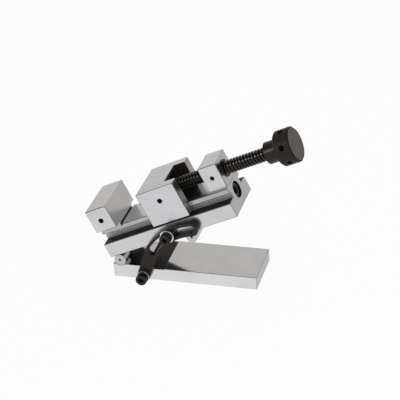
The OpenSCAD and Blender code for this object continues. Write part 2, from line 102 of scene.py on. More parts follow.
# Threaded side holes: place along the bed, half width of the block, bore radius, depth, pitch
FIXED_JAW_HOLES = (5.2 * MM, JAW_HALF, 3.0 * MM, 12 * MM, 1.0 * MM)
MOVING_JAW_HOLES = (87.0 * MM, JAW_HALF, 3.0 * MM, 12 * MM, 1.0 * MM)
NUT_BLOCK_HOLES = (152.7 * MM, 17.8 * MM, 2.5 * MM, 5 * MM, 0.8 * MM)
HOLE_THREAD_START = 0.7 * MM
HOLE_THREAD_DEPTH = 0.45 * MM
HOLE_THREAD_STEPS = 32
HOLE_STEPS = 40

# Rollers of the sine base
SINE_DISTANCE = 100 * MM
CENTRE_MARK_RADIUS = 1.5 * MM

# Heights of the base plate, and places on it from the hinge
RELIEF_LOWEST = 4 * MM
GROUND_TOP = 16 * MM
PAD_TOP = 17.5 * MM
PLATE_END_REACH = 9 * MM
GROOVE_BEHIND = 8.5 * MM
GROOVE_AHEAD = 11 * MM

# Lead screw and its bush, along the bed
TIP_START = 84.3 * MM
NECK_START = 93.5 * MM
THREAD_START = 97.7 * MM
HUB_FACE = 220.2 * MM
SHAFT_END = 239.5 * MM
TIP_RADIUS = 7 * MM
NECK_RADIUS = 5 * MM
THREAD_PITCH = 4 * MM
THREAD_CREST = 8 * MM
THREAD_ROOT = 5.9 * MM
THREAD_PLAY = 0.12 * MM
THREAD_STEPS = 40
BUSH_START = 141 * MM
BUSH_SHOULDER = 164.4 * MM
BUSH_END = 165.6 * MM
BUSH_RADIUS = 9.5 * MM
BUSH_RIM_RADIUS = 10.5 * MM

# Plug in the bed's end
PLUG_HEIGHT = 25.6 * MM
PLUG_START = 157 * MM
PLUG_END = 164 * MM
PLUG_RADIUS = 10 * MM
PLUG_WELL = 1.8 * MM
SOCKET_START = 159.8 * MM
SOCKET_RADIUS = 4.62 * MM

# Knob's hub, along the bed
HUB_END = 235.5 * MM

# Heads of the arm's bolts
HEAD_RADIUS = 6.5 * MM
HEAD_HEIGHT = 8 * MM
KNURL_COUNT = 44
KNURL_SIZE = 0.34 * MM
KNURL_SUNK = 0.1 * MM
KNURL_BARE = 1.2 * MM

# Softened edges: widths, the length of a short edge, and shares of the width on lesser edges
GROUND_EDGE = 0.7 * MM
BLACK_EDGE = 0.7 * MM
KNOB_EDGE = 1.0 * MM
HEAD_EDGE = 0.45 * MM
SMALL_EDGE = 0.2 * MM
SHORT_EDGE = 2 * MM
BLOCK_RIM_SHARE = 0.35
PLATE_EDGE_SHARE = 0.55
PLATE_RIM_SHARE = 0.3
KNOB_HOLE_SHARE = 0.3

# Angles between faces: merged below the first, and sharp above the others
FLAT_ANGLE = math.radians(0.6)
SMOOTH_ANGLE = math.radians(32)
CUT_ANGLE = math.radians(40)
ROUNDED_ANGLE = math.radians(50)

# Play in telling where a face or an edge is, and which way it faces
LOOSE = 0.5 * MM
NEAR = 0.3 * MM
CLOSE = 0.1 * MM
SAME = 0.05 * MM
SQUARE, FACING, LEANING, SLANTING = 0.99, 0.9, 0.5, 0.2


# Materials

GRINDING_STRETCH = (14, 1100, 1100)
GRINDING_SHARE = 0.15


def node_adder(tree):
    """A helper that adds nodes to a tree and sets their inputs and settings by name."""
    def add(kind, **settings):
        node = tree.nodes.new(kind)
        for key, value in settings.items():
            if key in node.inputs:
                node.inputs[key].default_value = value
            else:
                setattr(node, key, value)
        return node

    return add


def new_material(name):
    """A node material with its shader, and a helper that adds nodes to it."""
    material = bpy.data.materials.new(name)
    material.use_nodes = True
    tree = material.node_tree
    return material, tree, tree.nodes["Principled BSDF"], node_adder(tree)


def pattern_space(tree, add, centre=(0, 0, 0), turn=0.0, stretch=(1, 1, 1)):
    """Object coordinates moved to a centre and turned level about Y, plain and stretched."""
    coordinates = add("ShaderNodeTexCoord")
    place = add("ShaderNodeMapping", vector_type="TEXTURE")
    place.inputs["Location"].default_value = centre
    place.inputs["Rotation"].default_value = (0, -turn, 0)
    scale = add("ShaderNodeMapping")
    scale.inputs["Scale"].default_value = stretch
    tree.links.new(coordinates.outputs["Object"], place.inputs["Vector"])
    tree.links.new(place.outputs["Vector"], scale.inputs["Vector"])
    return place.outputs["Vector"], scale.outputs["Vector"]


def spread(tree, add, source, low=0.0, high=1.0, first=0.3, last=0.7):
    """A value from a pattern, mapped from its usual range to the given one."""
    node = add("ShaderNodeMapRange")
    node.inputs["From Min"].default_value = first
    node.inputs["From Max"].default_value = last
    node.inputs["To Min"].default_value = low
    node.inputs["To Max"].default_value = high
    tree.links.new(source, node.inputs["Value"])
    return node.outputs["Result"]


def tinted(tree, add, source, dark, light):
    """A colour between two, by a value from 0 to 1; each of the two is plain or a socket."""
    node = add("ShaderNodeMix", data_type="RGBA")
    ends = [socket for socket in node.inputs if socket.type == "RGBA"]
    for end, colour in zip(ends, (dark, light)):
        if isinstance(colour, bpy.types.NodeSocket):
            tree.links.new(colour, end)
        else:
            end.default_value = (*colour, 1)
    tree.links.new(source, node.inputs[0])
    return next(socket for socket in node.outputs if socket.type == "RGBA")


def blended(tree, add, share, first, second):
    """A shader between two, by a value from 0 to 1."""
    mix = add("ShaderNodeMixShader")
    for number, source in enumerate((share, first, second)):
        tree.links.new(source, mix.inputs[number])
    return mix.outputs[0]


def roughened(tree, add, shader, pattern, strength, height):
    """A fine relief on a surface, from a pattern."""
    bump = add("ShaderNodeBump", Strength=strength, Distance=height)
    tree.links.new(pattern, bump.inputs["Height"])
    tree.links.new(bump.outputs["Normal"], shader.inputs["Normal"])


def ground_steel(name, turn, dark, light, smooth, rough):
    """Surface-ground steel: fine lines along the length, faint clouds of tone and a soft mirror."""
    material, tree, shader, add = new_material(name)
    plain, lines = pattern_space(tree, add, tuple(HINGE), turn, GRINDING_STRETCH)
    line_noise = add("ShaderNodeTexNoise", Scale=1.6, Detail=3.0, Roughness=0.6)
    tree.links.new(lines, line_noise.inputs["Vector"])
    cloud_noise = add("ShaderNodeTexNoise", Scale=38.0, Detail=3.0, Roughness=0.55)
    tree.links.new(plain, cloud_noise.inputs["Vector"])
    tone = add("ShaderNodeMix", data_type="FLOAT")
    tone.inputs[0].default_value = GRINDING_SHARE
    tree.links.new(cloud_noise.outputs["Fac"], tone.inputs[2])
    tree.links.new(line_noise.outputs["Fac"], tone.inputs[3])
    share = spread(tree, add, tone.outputs[0])
    tree.links.new(tinted(tree, add, share, dark, light), shader.inputs["Base Color"])
    tree.links.new(spread(tree, add, line_noise.outputs["Fac"], smooth, rough),
                   shader.inputs["Roughness"])
    roughened(tree, add, shader, line_noise.outputs["Fac"], strength=0.05, height=0.00002)
    shader.inputs["Metallic"].default_value = 1.0
    return material


def turned_steel(name, centre, turn, dark, light):
    """Steel faced on a lathe: fine and broad rings about an axis across the bed."""
    material, tree, shader, add = new_material(name)
    plain, _ = pattern_space(tree, add, centre, turn)
    parts = add("ShaderNodeSeparateXYZ")
    tree.links.new(plain, parts.inputs["Vector"])
    flat = add("ShaderNodeCombineXYZ")
    tree.links.new(parts.outputs["X"], flat.inputs["X"])
    tree.links.new(parts.outputs["Z"], flat.inputs["Y"])
    radius = add("ShaderNodeVectorMath", operation="LENGTH")
    tree.links.new(flat.outputs["Vector"], radius.inputs[0])
    rings = add("ShaderNodeTexNoise", noise_dimensions="1D", Scale=1100.0, Detail=4.0)
    tree.links.new(radius.outputs["Value"], rings.inputs["W"])
    share = spread(tree, add, rings.outputs["Fac"])
    tree.links.new(tinted(tree, add, share, dark, light), shader.inputs["Base Color"])
    tree.links.new(spread(tree, add, rings.outputs["Fac"], low=0.2, high=0.38),
                   shader.inputs["Roughness"])
    roughened(tree, add, shader, rings.outputs["Fac"], strength=0.25, height=0.00004)
    shader.inputs["Metallic"].default_value = 1.0
    return material


def black_oxide(name, dark, light, smooth, rough, gloss, sheen=(1.0, 0.9, 0.83, 1)):
    """Blackened steel: a faint mottle, a fine grain and a satin sheen."""
    material, tree, shader, add = new_material(name)
    plain, _ = pattern_space(tree, add)
    mottle = add("ShaderNodeTexNoise", Scale=90.0, Detail=4.0, Roughness=0.6)
    tree.links.new(plain, mottle.inputs["Vector"])
    fine = add("ShaderNodeTexNoise", Scale=420.0, Detail=4.0, Roughness=0.7)
    tree.links.new(plain, fine.inputs["Vector"])
    share = spread(tree, add, mottle.outputs["Fac"])
    tree.links.new(tinted(tree, add, share, dark, light), shader.inputs["Base Color"])
    tree.links.new(spread(tree, add, fine.outputs["Fac"], smooth, rough),
                   shader.inputs["Roughness"])
    roughened(tree, add, shader, fine.outputs["Fac"], strength=0.15, height=0.00004)
    shader.inputs["Specular IOR Level"].default_value = gloss
    shader.inputs["Specular Tint"].default_value = sheen
    return material


def bronze_metal(name):
    """Turned bronze with a dull brown film."""
    material, tree, shader, add = new_material(name)
    plain, _ = pattern_space(tree, add)
    film = add("ShaderNodeTexNoise", Scale=120.0, Detail=4.0)
    tree.links.new(plain, film.inputs["Vector"])
    share = spread(tree, add, film.outputs["Fac"])
    tree.links.new(tinted(tree, add, share, (0.24, 0.16, 0.07), (0.42, 0.29, 0.13)),
                   shader.inputs["Base Color"])
    tree.links.new(spread(tree, add, film.outputs["Fac"], low=0.3, high=0.5),
                   shader.inputs["Roughness"])
    shader.inputs["Metallic"].default_value = 1.0
    return material


bed_steel = ground_steel("ground_bed_steel", TILT, (0.575, 0.571, 0.59), (0.635, 0.63, 0.652),
                         smooth=0.21, rough=0.28)
base_steel = ground_steel("ground_base_steel", 0.0, (0.64, 0.638, 0.65), (0.7, 0.698, 0.712),
                          smooth=0.06, rough=0.14)
# A darker copy of the base steel for the plate's ends: painted shade, the floor's shadow seen in
# them.
plate_ends_painted_shade = ground_steel("ground_plate_ends_painted_shade", 0.0, (0.32, 0.318, 0.32), (0.362, 0.36, 0.362),
                               smooth=0.16, rough=0.26)
# Darker copies of the bed steel, rougher as milled: painted shade on the rail sides, the neck under
# the rail's head and the moving jaw's rear.
milled_steel_painted_shade = ground_steel("milled_steel_painted_shade", TILT, (0.42, 0.415, 0.42), (0.5, 0.494, 0.5),
                            smooth=0.26, rough=0.38)
neck_steel_painted_shade = ground_steel("rough_milled_neck_painted_shade", TILT, (0.5, 0.494, 0.49), (0.6, 0.594, 0.59),
                          smooth=0.5, rough=0.62)
black_ledge = black_oxide("black_ledges", (0.005, 0.0045, 0.004), (0.011, 0.01, 0.009),
                          smooth=0.4, rough=0.6, gloss=0.2)
# A lighter, browner black for the moving jaw's recess and channel: painted reflection, for the
# brown reflection in the cavity.
black_recess_painted_reflection = black_oxide("black_recess_brown_painted_reflection", (0.02, 0.0155, 0.0125), (0.034, 0.027, 0.022),
                           smooth=0.4, rough=0.6, gloss=0.3)
black_plate = black_oxide("black_plate_relief", (0.006, 0.005, 0.004), (0.013, 0.011, 0.009),
                          smooth=0.35, rough=0.5, gloss=0.25)
black_parts = black_oxide("black_oxide_steel", (0.0065, 0.0055, 0.005), (0.013, 0.011, 0.01),
                          smooth=0.28, rough=0.42, gloss=0.28)
black_matt = black_oxide("black_matt_knob", (0.0075, 0.0065, 0.006), (0.014, 0.012, 0.011),
                         smooth=0.5, rough=0.64, gloss=0.28)
# A lighter black on the bevelled edges of the arm and bolts, and on the knob pin.
black_edges = black_oxide("lighter_black_edges", (0.016, 0.014, 0.013), (0.032, 0.028, 0.026),
                          smooth=0.28, rough=0.42, gloss=0.4)
# A lighter black for the knob's faced end: painted reflection of the room.
black_end_painted_reflection = black_oxide("black_faced_end_painted_reflection", (0.036, 0.032, 0.029), (0.058, 0.052, 0.048),
                          smooth=0.26, rough=0.4, gloss=0.5)
black_thread = black_oxide("black_oiled_thread", (0.0066, 0.006, 0.0053), (0.012, 0.011, 0.0098),
                           smooth=0.12, rough=0.22, gloss=0.4, sheen=(1.0, 0.95, 0.88, 1))
# A lighter grey black for the plug's raised ring: painted light.
black_ring_painted_light = black_oxide("black_ring_painted_light_grey", (0.07, 0.066, 0.062), (0.12, 0.113, 0.107),
                         smooth=0.3, rough=0.45, gloss=0.5)
# Nearly black for the side holes, the plug's well and the rollers' centre marks: painted shade,
# darker than the black oxide around them.
bore_black_painted_shade = black_oxide("bores_black_painted_shade", (0.004, 0.0038, 0.0035), (0.009, 0.0085, 0.008),
                        smooth=0.3, rough=0.5, gloss=0.3)
bronze = bronze_metal("washer_bronze")


# Geometry trees

STEPS_PER_PITCH = 16
FLANK_TOP = 2.5 / STEPS_PER_PITCH
FLANK_FOOT = 5.5 / STEPS_PER_PITCH


class GeometryTree:
    """A geometry tree with named inputs, and short ways to add its nodes."""

    def __init__(self, name, inputs, takes_mesh=False):
        self.tree = bpy.data.node_groups.new(name, "GeometryNodeTree")
        sockets = [("Geometry", "Geometry")] if takes_mesh else []
        for label, kind in sockets + list(inputs):
            self.tree.interface.new_socket(label, in_out="INPUT", socket_type="NodeSocket" + kind)
        self.tree.interface.new_socket("Geometry", in_out="OUTPUT",
                                       socket_type="NodeSocketGeometry")
        self.given = self.tree.nodes.new("NodeGroupInput").outputs
        self.result = self.tree.nodes.new("NodeGroupOutput").inputs

    def add(self, kind, inputs=None, **settings):
        """A node with its settings, its inputs joined or set by name or number."""
        node = self.tree.nodes.new(kind)
        for key, value in settings.items():
            setattr(node, key, value)
        for key, value in (inputs or {}).items():
            if isinstance(value, bpy.types.NodeSocket):
                self.tree.links.new(value, node.inputs[key])
            else:
                node.inputs[key].default_value = value
        return node

    def calc(self, operation, *values):
        """The result of a sum on sockets and numbers."""
        return self.add("ShaderNodeMath", dict(enumerate(values)), operation=operation).outputs[0]

    def close(self, geometry, material):
        """End the tree with real meshes in one material."""
        real = self.add("GeometryNodeRealizeInstances", {"Geometry": geometry})
        painted = self.add("GeometryNodeSetMaterial",
                           {"Geometry": real.outputs[0], "Material": material})
        self.tree.links.new(painted.outputs[0], self.result["Geometry"])
        return self.tree


def helical_thread_tree():
    """A right-hand thread about X, from a sheet that is wound along its own helix."""
    made = GeometryTree("helical_thread", (
        ("Root Radius", "Float"), ("Crest Radius", "Float"), ("Pitch", "Float"),
        ("Turns", "Int"), ("Steps Around", "Int"), ("Material", "Material")))
    given, calc = made.given, made.calc
    sheet = made.add("GeometryNodeMeshGrid", {
        "Size X": given["Turns"], "Size Y": 1.0,
        "Vertices X": calc("MULTIPLY_ADD", given["Turns"], STEPS_PER_PITCH, 1.0),
        "Vertices Y": calc("ADD", given["Steps Around"], 1.0)})
    position = made.add("GeometryNodeInputPosition")
    flat = made.add("ShaderNodeSeparateXYZ", {"Vector": position.outputs[0]})
    pitches = calc("MULTIPLY_ADD", given["Turns"], 0.5, flat.outputs["X"])
    turn = calc("ADD", flat.outputs["Y"], 0.5)
    angle = calc("MULTIPLY", turn, 2 * math.pi)
    from_crest = calc("ABSOLUTE", calc("SUBTRACT", calc("FRACT", pitches), 0.5))
    rise = made.add("ShaderNodeMapRange", {
        "Value": from_crest, "From Min": FLANK_TOP, "From Max": FLANK_FOOT,
        "To Min": 1.0, "To Max": 0.0}, interpolation_type="SMOOTHSTEP")
    depth = calc("SUBTRACT", given["Crest Radius"], given["Root Radius"])
    radius = calc("MULTIPLY_ADD", rise.outputs["Result"], depth, given["Root Radius"])
    wound = made.add("ShaderNodeCombineXYZ", {
        "X": calc("MULTIPLY", calc("ADD", pitches, turn), given["Pitch"]),
        "Y": calc("MULTIPLY", radius, calc("COSINE", angle)),
        "Z": calc("MULTIPLY", radius, calc("SINE", angle))})
    placed = made.add("GeometryNodeSetPosition", {
        "Geometry": sheet.outputs["Mesh"], "Position": wound.outputs[0]})
    sewn = made.add("GeometryNodeMergeByDistance", {
        "Geometry": placed.outputs[0], "Distance": 1e-6})
    return made.close(sewn.outputs[0], given["Material"])


def facing_pair_tree():
    """Two copies of a piece along X, let into the two sides of a block from outside."""
    made = GeometryTree("facing_pair", (("Half Width", "Float"), ("Material", "Material")), True)
    given, calc = made.given, made.calc
    first = made.add("ShaderNodeCombineXYZ", {"Y": calc("MULTIPLY", given["Half Width"], -1.0)})
    step = made.add("ShaderNodeCombineXYZ", {"Y": calc("MULTIPLY", given["Half Width"], 2.0)})
    sides = made.add("GeometryNodeMeshLine", {
        "Count": 2, "Start Location": first.outputs[0], "Offset": step.outputs[0]})
    index = made.add("GeometryNodeInputIndex")
    turn = made.add("ShaderNodeCombineXYZ", {
        "Z": calc("MULTIPLY_ADD", index.outputs[0], -math.pi, math.pi / 2)})
    copies = made.add("GeometryNodeInstanceOnPoints", {
        "Points": sides.outputs["Mesh"], "Instance": given["Geometry"],
        "Rotation": turn.outputs[0]})
    return made.close(copies.outputs[0], given["Material"])


def ridge_ring_tree():
    """Straight knurl ridges around a round head whose axis is Z."""
    made = GeometryTree("ridge_ring", (
        ("Count", "Int"), ("Radius", "Float"), ("Length", "Float"), ("Ridge", "Float"),
        ("Material", "Material")))
    given, calc = made.given, made.calc
    ring = made.add("GeometryNodeMeshCircle", {
        "Vertices": given["Count"], "Radius": given["Radius"]})
    ridge = made.add("GeometryNodeMeshCylinder", {
        "Vertices": 4, "Radius": given["Ridge"], "Depth": given["Length"]})
    index = made.add("GeometryNodeInputIndex")
    share = calc("DIVIDE", index.outputs[0], given["Count"])
    turn = made.add("ShaderNodeCombineXYZ", {"Z": calc("MULTIPLY", share, 2 * math.pi)})
    ridges = made.add("GeometryNodeInstanceOnPoints", {
        "Points": ring.outputs["Mesh"], "Instance": ridge.outputs["Mesh"],
        "Rotation": turn.outputs[0]})
    return made.close(ridges.outputs[0], given["Material"])


THREAD_TREE = helical_thread_tree()
PAIR_TREE = facing_pair_tree()
RIDGE_TREE = ridge_ring_tree()


# Meshes

def body_of(node):
    """The body that carries a node."""
    return NODES[node]["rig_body"]


def slot_of(node):
    """The record's material slot of a node."""
    for part in frame["record"]["subparts"]:
        if part["node"] == node:
            return part["material_slot"]


def add_piece(name, mesh, body, slot, replaced=None):
    """Put a finished mesh in the scene, hide the solid it replaces, if any, and tie it to its body.
    """
    piece = bpy.data.objects.new(name, mesh)
    bpy.context.scene.collection.objects.link(piece)
    if replaced:
        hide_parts(replaced)
    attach(piece, body)
    return piece


def evaluated(holder):
    """The plain mesh of an object with its modifiers worked in; the object goes."""
    bpy.context.scene.collection.objects.link(holder)
    bpy.context.view_layer.update()
    graph = bpy.context.evaluated_depsgraph_get()
    result = bpy.data.meshes.new_from_object(holder.evaluated_get(graph))
    holder.modifiers.clear()
    bpy.data.objects.remove(holder)
    return result


def finished(mesh, modifiers):
    """A plain mesh with the given modifiers worked in."""
    holder = bpy.data.objects.new("holder", mesh)
    for kind, settings in modifiers:
        modifier = holder.modifiers.new(kind.lower(), kind)
        for key, value in settings.items():
            setattr(modifier, key, value)
    return evaluated(holder)


def grown(tree, values, mesh=None):
    """The plain mesh that a geometry tree makes from the given values."""
    holder = bpy.data.objects.new("holder", mesh or bpy.data.meshes.new("holder"))
    modifier = holder.modifiers.new("tree", "NODES")
    modifier.node_group = tree
    for item in tree.interface.items_tree:
        if item.in_out == "INPUT" and item.name in values:
            modifier[item.identifier] = values[item.name]
    return evaluated(holder)


def shaped(shape, name, smooth_angle=SMOOTH_ANGLE):
    """A mesh from an edited shape, smooth but for its sharp edges."""
    mesh = bpy.data.meshes.new(name)
    for face in shape.faces:
        face.smooth = True
    shape.to_mesh(mesh)
    shape.free()
    mesh.set_sharp_from_angle(angle=smooth_angle)
    return mesh


def turned(outline, steps=72):
    """A closed shape turned about X, from the places and radii of its outline."""
    shape = bmesh.new()
    rings = []
    for place, radius in outline:
        angles = [2 * math.pi * step / steps for step in range(steps)]
        rings.append([shape.verts.new((place, radius * math.cos(angle), radius * math.sin(angle)))
                      for angle in angles])
    for before, after in zip(rings, rings[1:]):
        for step in range(steps):
            shape.faces.new((before[step - 1], before[step], after[step], after[step - 1]))
    shape.faces.new(rings[0])
    shape.faces.new(rings[-1])
    bmesh.ops.recalc_face_normals(shape, faces=shape.faces)
    return shaped(shape, "turned")


def threaded(root, crest, pitch, first, last, around, material):
    """A closed threaded rod about X from first to last, in step with every thread of its pitch."""
    start = (math.floor(first / pitch) - 1) * pitch
    turns = math.ceil((last - start) / pitch) + 1
    wound = grown(THREAD_TREE, {"Root Radius": root, "Crest Radius": crest, "Pitch": pitch,
                                "Turns": turns, "Steps Around": around, "Material": material})
    shape = bmesh.new()
    shape.from_mesh(wound)
    bmesh.ops.translate(shape, verts=shape.verts, vec=(start, 0, 0))
    for place, outward in ((first, -1), (last, 1)):
        everything = shape.verts[:] + shape.edges[:] + shape.faces[:]
        bmesh.ops.bisect_plane(shape, geom=everything, dist=1e-7, plane_co=(place, 0, 0),
                               plane_no=(outward, 0, 0), clear_outer=True)
    rims = [edge for edge in shape.edges if edge.is_boundary]
    bmesh.ops.holes_fill(shape, edges=rims, sides=0)
    bmesh.ops.recalc_face_normals(shape, faces=shape.faces)
    return shaped(shape, "threaded", ROUNDED_ANGLE)


def joined(meshes, material):
    """Several meshes as one, in one material."""
    shape = bmesh.new()
    for mesh in meshes:
        shape.from_mesh(mesh)
    for face in shape.faces:
        face.material_index = 0
    mesh = bpy.data.meshes.new("joined")
    shape.to_mesh(mesh)
    shape.free()
    mesh.materials.append(material)
    return mesh


def cut_out(mesh, cutter):
    """A mesh with another's space taken out of it."""
    tool = bpy.data.objects.new("tool", cutter)
    bpy.context.scene.collection.objects.link(tool)
    result = finished(mesh, [("BOOLEAN", {"operation": "DIFFERENCE", "object": tool,
                                          "solver": "EXACT"})])
    bpy.data.objects.remove(tool)
    result.set_sharp_from_angle(angle=CUT_ANGLE)
    return result


def eased(node, width, materials, choose=None, weigh=None, segments=2, edge_material=-1):
    """A copy of a solid with its outer edges softened, standing in for the solid.

    One segment makes flat chamfers, and more make rounded edges. choose takes a face's middle and
    normal and gives the face's finish, or None for the first of the materials, and weigh takes an
    edge's two ends and gives its share of the softening. Both work in the bed's frame for pieces
    on the bed and in the solids' frame for the others.
    """
    shape = bmesh.new()
    shape.from_mesh(NODES[node].data)
    bmesh.ops.remove_doubles(shape, verts=shape.verts, dist=1e-6)
    bmesh.ops.dissolve_limit(shape, angle_limit=FLAT_ANGLE, verts=shape.verts,
                             edges=shape.edges)
    to_frame = Matrix.Identity(4) if body_of(node) in ("base", "pivot", "arm") else TO_BED
    turn = to_frame.to_3x3()
    for face in shape.faces:
        face.smooth = True
        finish = None
        if choose:
            finish = choose(to_frame @ face.calc_center_median(), turn @ face.normal)
        face.material_index = 0 if finish is None else materials.index(finish)
    weights = shape.edges.layers.float.new("bevel_weight_edge")
    for edge in shape.edges:
        if edge.calc_face_angle() > SMOOTH_ANGLE:
            if edge.is_convex:
                ends = [to_frame @ vertex.co for vertex in edge.verts]
                edge[weights] = weigh(*ends) if weigh else 1.0
            edge.smooth = edge[weights] > 0
    mesh = bpy.data.meshes.new(node + "_eased")
    shape.to_mesh(mesh)
    shape.free()
    if "custom_normal" in mesh.attributes:
        mesh.attributes.remove(mesh.attributes["custom_normal"])
    for material in materials:
        mesh.materials.append(material)
    mesh = finished(mesh, [
        ("BEVEL", {"width": width, "segments": segments, "limit_method": "WEIGHT",
                   "use_clamp_overlap": segments > 1, "material": edge_material})])
    mesh.set_sharp_from_angle(angle=SMOOTH_ANGLE if segments == 1 else ROUNDED_ANGLE)
    mesh = finished(mesh, [("WEIGHTED_NORMAL", {"keep_sharp": True, "weight": 80})])
    return add_piece(node + "_eased", mesh, body_of(node), slot_of(node), node)


def repaint(node, material):
    """Give a solid that stays as it is its finish."""
    NODES[node].data.materials.clear()
    NODES[node].data.materials.append(material)


# Finishes of the steel blocks, face by face

def in_side_hole(middle, holes):
    """Whether a point is inside one of a block's two side holes."""
    along, half, radius, depth, _ = holes
    off_axis = math.hypot(middle.x - along, middle.z - SCREW_HEIGHT)
    return off_axis < radius + CLOSE and half - depth - NEAR < abs(middle.y) < half - CLOSE


def body_face(middle, normal):
    """Black ledges, underside and relief groove of the vise body, its holes nearly black as painted
    shade, and its milled rail sides and neck darker as painted shade.
    """
    in_groove = FIXED_JAW_FACE - NEAR < middle.x < FIXED_JAW_FACE + RELIEF_WIDTH + NEAR
    if in_groove and RAIL_UNDERSIDE + LOOSE < middle.z < BED_TOP - NEAR:
        return black_ledge
    if normal.z > FACING and abs(middle.z - FLANGE_TOP) < NEAR:
        return black_ledge
    if normal.z < -FACING and abs(middle.z - FLANGE_UNDERSIDE) < NEAR:
        return black_ledge
    on_rail_side = abs(normal.y) > FACING and abs(middle.y) < RAIL_HALF + NEAR
    if on_rail_side and FLANGE_TOP < middle.z < BED_TOP:
        return milled_steel_painted_shade if middle.z > RAIL_UNDERSIDE else neck_steel_painted_shade
    if abs(normal.y) < SQUARE and middle.length < HINGE_POCKET_REACH:
        in_pocket = FLANGE_UNDERSIDE + NEAR < middle.z < HINGE_POCKET_TOP
        return black_ledge if in_pocket else None
    return bore_black_painted_shade if in_side_hole(middle, FIXED_JAW_HOLES) else None


def jaw_face(middle, normal):
    """Black recess and channel, lighter brown as a painted reflection, holes nearly black as
    painted shade, and milled rear darker as painted shade, of the moving jaw.
    """
    in_recess = middle.x > RECESS_FACE - KEEPER_POCKET and abs(middle.y) < RECESS_HALF + LOOSE
    on_wall = abs(normal.y) > LEANING or normal.x > LEANING
    if in_recess and on_wall and middle.z < JAW_TOP - NEAR:
        return black_recess_painted_reflection
    if normal.x > FACING and middle.x > RECESS_FACE + NEAR:
        return milled_steel_painted_shade
    if middle.z < BED_TOP + NEAR and abs(middle.y) < CHANNEL_HALF:
        return black_recess_painted_reflection if abs(normal.x) < FACING else None
    return bore_black_painted_shade if in_side_hole(middle, MOVING_JAW_HOLES) else None


def block_face(middle, normal):
    """Holes of the nut block, nearly black as painted shade."""
    return bore_black_painted_shade if in_side_hole(middle, NUT_BLOCK_HOLES) else None


def plate_face(middle, normal):
    """Black relief and hinge groove of the base plate, and its ends darker as painted shade."""
    from_hinge = middle.x - HINGE.x
    on_end = abs(normal.x) > FACING and abs(from_hinge) > PLATE_END_REACH
    if on_end and middle.z < PAD_TOP / 2 + NEAR:
        return plate_ends_painted_shade
    if normal.z > SLANTING and RELIEF_LOWEST < middle.z < GROUND_TOP - NEAR:
        return black_plate
    in_pad = GROUND_TOP < middle.z < PAD_TOP and abs(normal.y) < LEANING
    return black_plate if in_pad and -GROOVE_BEHIND < from_hinge < GROOVE_AHEAD else None


def knob_face(middle, normal):
    """Faced end lightened as a painted reflection, and smoother hub, of the knob."""
    if normal.x > FACING:
        return black_end_painted_reflection
    return black_parts if middle.x < HUB_END - NEAR else None


def roller_face(middle, normal):
    """Centre marks of the rollers, nearly black as painted shade, on axes along the bed's sine
    distance.
    """
    off_axis = min(math.hypot(middle.x - along, middle.z) for along in (0, SINE_DISTANCE))
    sunk = abs(middle.y) < JAW_HALF - CLOSE
    return bore_black_painted_shade if sunk and off_axis < CENTRE_MARK_RADIUS + CLOSE else None


def knob_edge(first, second):
    """Full rounding on the knob's turned edges and little on its holes."""
    radii = [math.hypot(end.y, end.z - SCREW_HEIGHT) for end in (first, second)]
    on_turned_edge = abs(radii[0] - radii[1]) < SAME and abs(first.x - second.x) < SAME
    return 1.0 if on_turned_edge else KNOB_HOLE_SHARE


def block_edge(first, second):
    """Full chamfers on long edges, less on rims and in the groove, none at the nut block's foot."""
    low = max(first.z, second.z) < BED_TOP + NEAR and min(first.z, second.z) > BED_TOP - NEAR
    if low and min(first.x, second.x) > BUSH_START - NEAR:
        return 0.0
    by_groove = max(first.x, second.x) < FIXED_JAW_FACE + RELIEF_WIDTH + NEAR
    in_groove = low and by_groove and min(first.x, second.x) > FIXED_JAW_FACE - NEAR
    return BLOCK_RIM_SHARE if in_groove or (first - second).length < SHORT_EDGE else 1.0


def plate_edge(first, second):
    """Narrow chamfers on the long edges of the base plate, and narrower ones on its rims."""
    return PLATE_RIM_SHARE if (first - second).length < SHORT_EDGE else PLATE_EDGE_SHARE


eased("base_plate", GROUND_EDGE, [base_steel, black_plate, plate_ends_painted_shade], plate_face,
      plate_edge, segments=1)
eased("vise_body", GROUND_EDGE, [bed_steel, black_ledge, bore_black_painted_shade, milled_steel_painted_shade, neck_steel_painted_shade],
      body_face, block_edge, segments=1)
eased("moving_jaw", GROUND_EDGE, [bed_steel, black_recess_painted_reflection, bore_black_painted_shade, milled_steel_painted_shade], jaw_face,
      block_edge, segments=1)
eased("nut_block", GROUND_EDGE, [bed_steel, bore_black_painted_shade], block_face, block_edge, segments=1)
eased("lock_arm", BLACK_EDGE, [black_parts, black_edges], edge_material=1)
eased("knob", KNOB_EDGE, [black_matt, black_end_painted_reflection, black_parts], knob_face, knob_edge,
      segments=3)
for name in ("hinge_block", "screw_keeper"):
    eased(name, SMALL_EDGE, [black_parts])
for name in ("pivot_bolt", "clamp_bolt"):
    eased(name, HEAD_EDGE, [black_parts, black_edges], edge_material=1)
for name in ("hinge_block_screws", "roller_screws", "nut_block_screws", "keeper_screws"):
    repaint(name, black_parts)
repaint("thrust_washer", bronze)
repaint("knob_pin", black_edges)


# Turned rollers and washers

def centre_of(node):
    """The middle of a node's box."""
    low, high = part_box(node)
    return (low + high) / 2


# The clamp washer gets brighter rings than the pivot washer and the rollers: painted light.
DULL_RINGS = (0.38, 0.378, 0.37), (0.66, 0.66, 0.655)
BRIGHT_RINGS_PAINTED_LIGHT = (0.72, 0.718, 0.71), (0.93, 0.928, 0.92)

for name in ("hinge_roller", "sine_roller", "pivot_washer", "clamp_washer"):
    lean = 0.0 if name == "pivot_washer" else TILT
    tones = BRIGHT_RINGS_PAINTED_LIGHT if name == "clamp_washer" else DULL_RINGS
    ringed = turned_steel(name + "_turned_steel", tuple(centre_of(name)), lean, *tones)
    eased(name, GROUND_EDGE, [ringed, bore_black_painted_shade], roller_face if "roller" in name else None)


# Lead screw, bush and threaded holes

